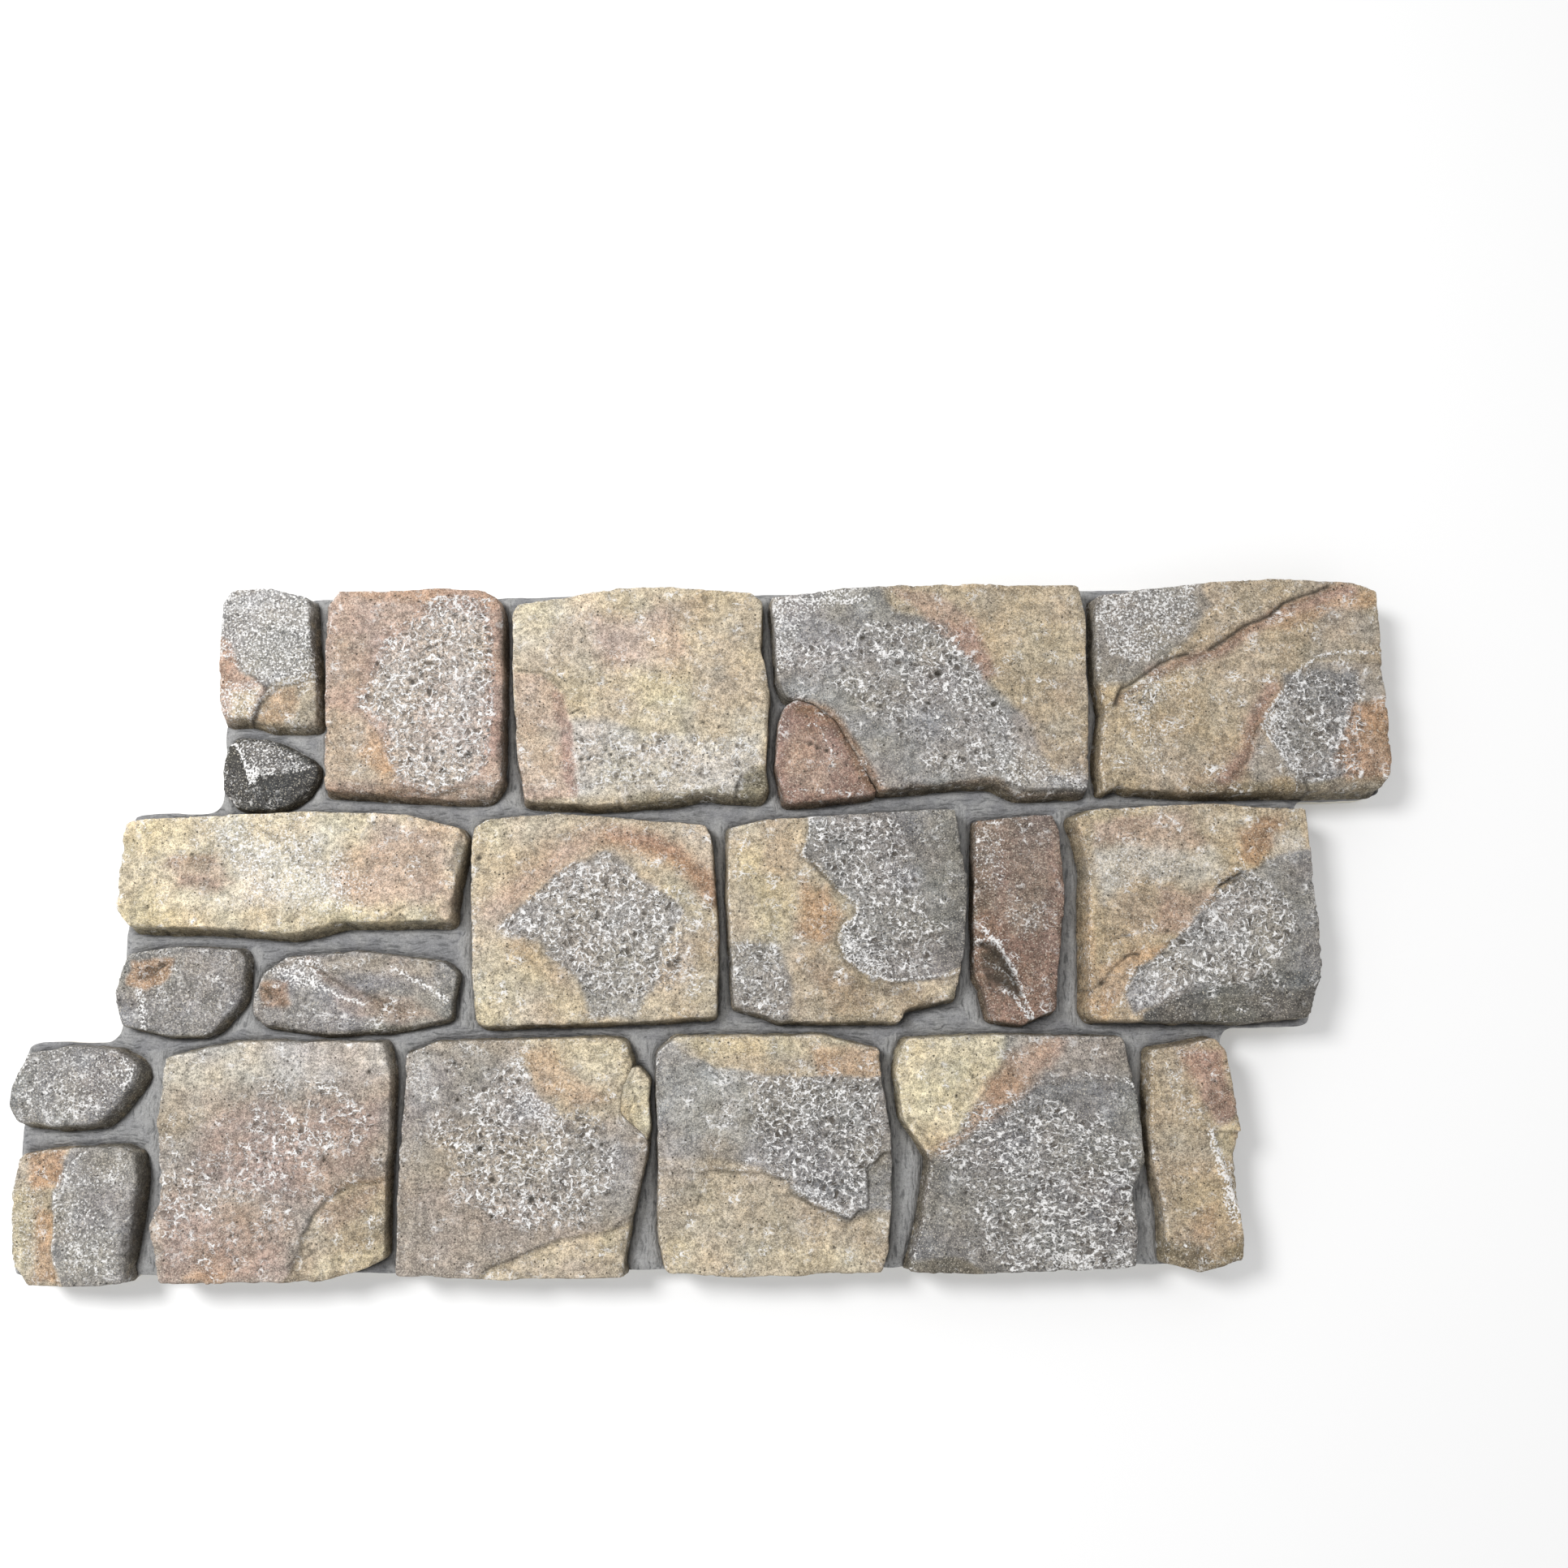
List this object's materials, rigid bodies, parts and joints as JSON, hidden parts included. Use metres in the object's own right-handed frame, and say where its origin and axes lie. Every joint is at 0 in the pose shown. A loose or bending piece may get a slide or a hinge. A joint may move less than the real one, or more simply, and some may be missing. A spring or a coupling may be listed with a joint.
{
  "type": "faux stone wall panel",
  "caption": "Moulded foam wall panel with stepped ends: rows of rough stones in relief set in a mortar bed, with a flat back to glue to a wall.",
  "frame": {"origin": "middle of the flat back face, centred under the panel's outline", "axes": "+X along the courses to the right, +Y up the wall across the courses, +Z out of the stones, away from the wall"},
  "size_m": [1.1988, 0.6013, 0.0489],
  "materials": {
    "painted_foam": "matt painted stone texture"
  },
  "bodies": {
    "root": {"stone_panel": "painted_foam"}
  },
  "joints": []
}
